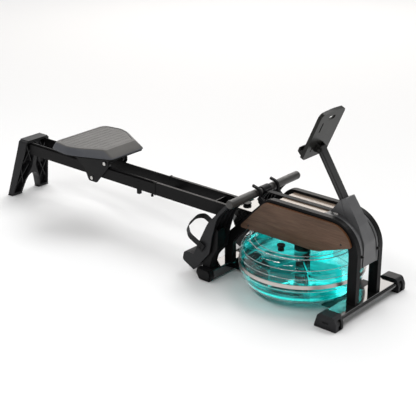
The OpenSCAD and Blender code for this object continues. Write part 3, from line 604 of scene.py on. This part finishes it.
def corner(before, at, after, radius):
    """The arc that rounds one corner of a path in the plane."""
    a, b, c = Vector(before), Vector(at), Vector(after)
    u, v = (a - b).normalized(), (c - b).normalized()
    half = math.acos(max(-1, min(1, u.dot(v)))) / 2
    if radius <= 0 or half > math.radians(89.9):
        return [b]
    start, end = b + u * (radius / math.tan(half)), b + v * (radius / math.tan(half))
    centre = b + (u + v).normalized() * (radius / math.sin(half))
    first, last = start - centre, end - centre
    turn = math.atan2(first.x * last.y - first.y * last.x, first.dot(last))
    arc = []
    for k in range(CORNER_STEPS + 1):
        angle = turn * k / CORNER_STEPS
        arc.append(centre + Vector((first.x * math.cos(angle) - first.y * math.sin(angle),
                                    first.x * math.sin(angle) + first.y * math.cos(angle))))
    return arc


def path_points(points):
    """An open path of (x, y, bend radius), with its bends rounded and evenly dense points."""
    bends = []
    for i, (x, y, radius) in enumerate(points):
        if 0 < i < len(points) - 1:
            bends += corner(points[i - 1][:2], (x, y), points[i + 1][:2], radius)
        else:
            bends.append(Vector((x, y)))
    dense = [bends[0]]
    for start, end in zip(bends, bends[1:]):
        count = max(1, round((end - start).length / PATH_SPACING))
        dense += [start.lerp(end, k / count) for k in range(1, count + 1)]
    return dense


def closed_outline(points):
    """A closed ring of (x, y, bend radius), with its corners rounded."""
    ring = []
    for i, (x, y, radius) in enumerate(points):
        ring += corner(points[i - 1][:2], (x, y), points[(i + 1) % len(points)][:2], radius)
    return ring


def ring_faces(rings, size):
    """The faces between successive rings of points, and one face that closes each end."""
    faces = []
    for i in range(rings - 1):
        for k in range(size):
            n = (k + 1) % size
            faces.append((i * size + k, i * size + n, (i + 1) * size + n, (i + 1) * size + k))
    faces.append(tuple(reversed(range(size))))
    faces.append(tuple(range((rings - 1) * size, rings * size)))
    return faces


def mesh_object(name, vertices, faces, material):
    mesh = bpy.data.meshes.new(name)
    mesh.from_pydata([tuple(v) for v in vertices], [], faces)
    mesh.validate()
    mesh.update()
    mesh.shade_smooth()
    mesh.materials.append(material)
    return put(name, mesh)


# ---- straps ----

# Half of a strap's section, as shares of half its width and half its thickness. The edges are
# rounded and a little thicker, like a sewn selvedge.
BAND_HALF = [(-1.0, 0.0), (-0.985, 0.6), (-0.93, 1.0), (-0.84, 0.95), (-0.78, 0.72),
             (-0.4, 0.80), (0.0, 0.84), (0.4, 0.80), (0.78, 0.72), (0.84, 0.95), (0.93, 1.0),
             (0.985, 0.6), (1.0, 0.0)]
BAND_SECTION = BAND_HALF + [(x, -h) for x, h in reversed(BAND_HALF[1:-1])]
ACROSS = Vector((0, 1, 0))


def webbing_band(name, centres, across, width, thickness, material):
    """A woven strap of even width along a path of centres; across holds its side direction at
    each point."""
    size = len(BAND_SECTION)
    vertices, run = [], [0.0]
    for i, centre in enumerate(centres):
        ahead = centres[min(i + 1, len(centres) - 1)] - centres[max(i - 1, 0)]
        side = across[i].normalized()
        thick = ahead.cross(side).normalized()
        vertices += [centre + side * (x * width / 2) + thick * (h * thickness / 2)
                     for x, h in BAND_SECTION]
        if i:
            run.append(run[-1] + (centre - centres[i - 1]).length)
    piece = mesh_object(name, vertices, ring_faces(len(centres), size), material)

    uvs = []
    for start, end in zip(run, run[1:]):
        for k in range(size):
            v0 = BAND_SECTION[k][0] * width / 2
            v1 = BAND_SECTION[(k + 1) % size][0] * width / 2
            uvs += [(start, v0), (start, v1), (end, v1), (end, v0)]
    uvs += [(0, 0)] * (2 * size)
    layer = piece.data.uv_layers.new(name="strap")
    for loop, uv in zip(layer.data, uvs):
        loop.uv = uv
    return piece


FOOT_SLOPE = math.radians(63.8)
UP_FOOT = Vector((math.cos(FOOT_SLOPE), 0, math.sin(FOOT_SLOPE)))
OFF_FOOT = Vector((-math.sin(FOOT_SLOPE), 0, math.cos(FOOT_SLOPE)))
FOOT_POINT = place(-722, 0, 160)
FOOT_INNER, FOOT_OUTER = 93.1, 216.9     # mm from the centre plane to the strap's two ends
FOOT_WIDTH, FOOT_THICK = 0.0278, 0.0024  # m
FOOT_RISE = 105                          # mm from the pedal to the top of the loop
FOOT_ASKEW = 0.22                        # how fast the loop climbs the pedal towards its inner end


def foot_strap(name, node, side, material):
    """The loop over one foot, lying a little askew."""
    loop = path_points([(FOOT_INNER, -24, 0), (FOOT_INNER, FOOT_RISE - 12, 24),
                        (FOOT_INNER + 32, FOOT_RISE + 3, 40),
                        (FOOT_OUTER - 24, FOOT_RISE - 12, 40), (FOOT_OUTER + 3, 52, 50),
                        (FOOT_OUTER, -34, 0)])
    centres = [FOOT_POINT + Vector((0, side * p.x / 1000, 0)) + OFF_FOOT * (p.y / 1000)
               + UP_FOOT * (FOOT_ASKEW * (FOOT_OUTER - p.x) / 1000) for p in loop]
    piece = webbing_band(name, centres, [UP_FOOT] * len(centres), FOOT_WIDTH, FOOT_THICK,
                         material)
    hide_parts(node)
    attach(piece, "frame")


def pull_strap(material):
    """The strap from the handle's clamp forward to the idler roller."""
    low, high = low_of("pull_strap"), high_of("pull_strap")
    z = (low.z + high.z) / 2
    count = 90
    centres = [Vector((low.x + (high.x - low.x) * k / count, 0, z)) for k in range(count + 1)]
    piece = webbing_band("pull_strap_band", centres, [ACROSS] * len(centres),
                         high.y - low.y, high.z - low.z, material)
    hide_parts("pull_strap")
    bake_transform(piece)


IDLER_X, IDLER_Z = -150, 355             # mm, the idler roller's axis
IDLER_WRAP = 23.1                        # mm, radius of the strap on the idler
DRUM_WRAP, DRUM_Z = 43.2, 273            # mm, radius and height of the strap on the drum
TAIL_WIDTH, TAIL_THICK = 0.0248, 0.0017  # m


def strap_tail(material):
    """The hidden run of the strap: round the front of the idler roller, then back to the drum,
    twisting upright on the way."""
    centres = []
    for k in range(21):
        angle = math.radians(90 - 9 * k)     # from the top, over the front, to the bottom
        centres.append(place(IDLER_X + IDLER_WRAP * math.cos(angle), 0,
                             IDLER_Z + IDLER_WRAP * math.sin(angle)))
    across = [ACROSS] * len(centres)
    start = centres[-1]
    angle = math.acos(DRUM_WRAP / (IDLER_X - TANK_X))
    end = place(TANK_X + DRUM_WRAP * math.cos(angle), DRUM_WRAP * math.sin(angle), DRUM_Z)
    steps = 25
    for k in range(1, steps + 1):
        t = k / steps
        done = min(1, t / 0.8)           # the drop and the twist end before the drum
        centres.append(Vector((start.x + (end.x - start.x) * t,
                               start.y + (end.y - start.y) * t,
                               start.z + (end.z - start.z) * done)))
        across.append(Vector((0, math.cos(math.pi / 2 * done), math.sin(math.pi / 2 * done))))
    piece = webbing_band("strap_tail_band", centres, across, TAIL_WIDTH, TAIL_THICK, material)
    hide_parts("strap_tail")
    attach(piece, "frame")


# ---- seat ----

SEAT_SHOULDER = -1490                    # mm, where the rounded front corners end
SEAT_WIDEST = -1548
SEAT_REAR = -1672
SEAT_WIDE = 188                          # mm, half of the seat's width
SEAT_RIM = (                             # inset, front edge and height of each ring, in mm
    (1.5, -1336, 350.6), (0, -1334, 351.6), (0, -1334, 354.6), (0.8, -1336.5, 357.0),
    (4.5, -1354, 368.0), (8.6, -1373, 380.0), (11.0, -1379, 383.6), (14.5, -1384, 386.3),
    (18.5, -1388.5, 387.8), (22.0, -1392, 388.0), (23.5, -1393.6, 387.2),
    (24.2, -1394.4, 385.4))
TOP_INSET, TOP_FRONT, TOP_Z = 24.6, -1394.9, 387.7
TOP_ROWS, TOP_COLUMNS = 170, 36
CHANNEL_PITCH, CHANNEL_WIDTH, CHANNEL_DEPTH = 27.0, 2.1, 2.0


def seat_outline(inset, front):
    """The seat's outline, shrunk by inset, with its front edge at the given place."""
    wide = SEAT_WIDE - inset
    rear = SEAT_REAR + inset * 1.6
    half = [(front, -wide * 0.55, 22), (SEAT_SHOULDER, -wide * 0.9, 160),
            (SEAT_WIDEST, -wide, 90), (rear, -wide * 0.9, 34)]
    return closed_outline(half + [(x, -y, r) for x, y, r in reversed(half)])


def half_width(ring, x):
    """How far a seat outline reaches from the centre plane at x."""
    reach = 0.0
    for a, b in zip(ring, ring[1:] + ring[:1]):
        if (a.x - x) * (b.x - x) <= 0 and abs(a.x - b.x) > 1e-6:
            reach = max(reach, abs(a.y + (b.y - a.y) * (x - a.x) / (b.x - a.x)))
    return reach


def seat_top():
    """Rows of points over the top: slightly crowned, falling at its rim, with shallow channels
    across it that stop short of the rim."""
    edge = seat_outline(TOP_INSET, TOP_FRONT)
    front, rear = max(p.x for p in edge), min(p.x for p in edge)
    points = []
    for i in range(TOP_ROWS + 1):
        x = front + (rear - front) * i / TOP_ROWS
        reach = half_width(edge, min(max(x, rear + 0.4), front - 0.4))
        share = (x - rear - 20) / CHANNEL_PITCH
        channel = math.exp(-((share - round(share)) * CHANNEL_PITCH / CHANNEL_WIDTH) ** 2)
        for j in range(TOP_COLUMNS + 1):
            across = -1 + 2 * j / TOP_COLUMNS
            to_rim = min(reach * (1 - abs(across)), front - x, x - rear)
            fall = 0.5 * across ** 2 + 1.6 * max(0.0, 1 - to_rim / 4.0) ** 2
            if to_rim > 8:
                fall += CHANNEL_DEPTH * channel
            points.append(place(x, reach * across, TOP_Z - fall))
    return points


def seat_cushion(material):
    """The moulded foam seat: a bevelled rim with rounded edges, and the top inside it."""
    vertices = [place(p.x, p.y, z) for inset, front, z in SEAT_RIM
                for p in seat_outline(inset, front)]
    faces = ring_faces(len(SEAT_RIM), len(vertices) // len(SEAT_RIM))
    base = len(vertices)
    vertices += seat_top()
    width = TOP_COLUMNS + 1
    for i in range(TOP_ROWS):
        for j in range(TOP_COLUMNS):
            a = base + i * width + j
            faces.append((a, a + 1, a + width + 1, a + width))
    piece = mesh_object("seat_cushion", vertices, faces, material)
    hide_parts("seat_pad")
    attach(piece, "seat")


# ---- tank beads ----

BEADS = (                                # radius, height and half thickness of each bead, in mm
    (257.2, 150, 1.6), (250.5, 185, 1.5), (219, 219, 2.4), (196, 222.5, 1.6), (241, 70, 1.6),
    (214, 33, 2.2), (258.6, 98, 1.4))
BEAD_AROUND, BEAD_SECTION = 120, 8


def tank_beads(material):
    """Raised clear beads moulded round the tank's shoulder and foot."""
    vertices, faces = [], []
    for radius, z, thick in BEADS:
        base = len(vertices)
        for i in range(BEAD_AROUND):
            turn = 2 * math.pi * i / BEAD_AROUND
            for k in range(BEAD_SECTION):
                lean = 2 * math.pi * k / BEAD_SECTION
                out = radius + thick * math.cos(lean)
                vertices.append(place(TANK_X + out * math.cos(turn), out * math.sin(turn),
                                      z + thick * math.sin(lean)))
        for i in range(BEAD_AROUND):
            a = base + i * BEAD_SECTION
            b = base + (i + 1) % BEAD_AROUND * BEAD_SECTION
            for k in range(BEAD_SECTION):
                n = (k + 1) % BEAD_SECTION
                faces.append((a + k, b + k, b + n, a + n))
    piece = mesh_object("tank_beads", vertices, faces, material)
    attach(piece, "frame")


def add_pieces():
    strap = webbing("webbing", (0.013, 0.013, 0.014))
    pull_strap(webbing("strap_webbing", (0.030, 0.029, 0.028)))
    strap_tail(strap)
    foot_strap("foot_strap_band_left", "foot_strap_left", 1, strap)
    foot_strap("foot_strap_band_right", "foot_strap_right", -1, strap)
    seat_cushion(seat_skin())
    tank_beads(shell_rim())


add_camera()
add_floor()
add_lights()
dress_nodes()
soften_edges()
add_pieces()
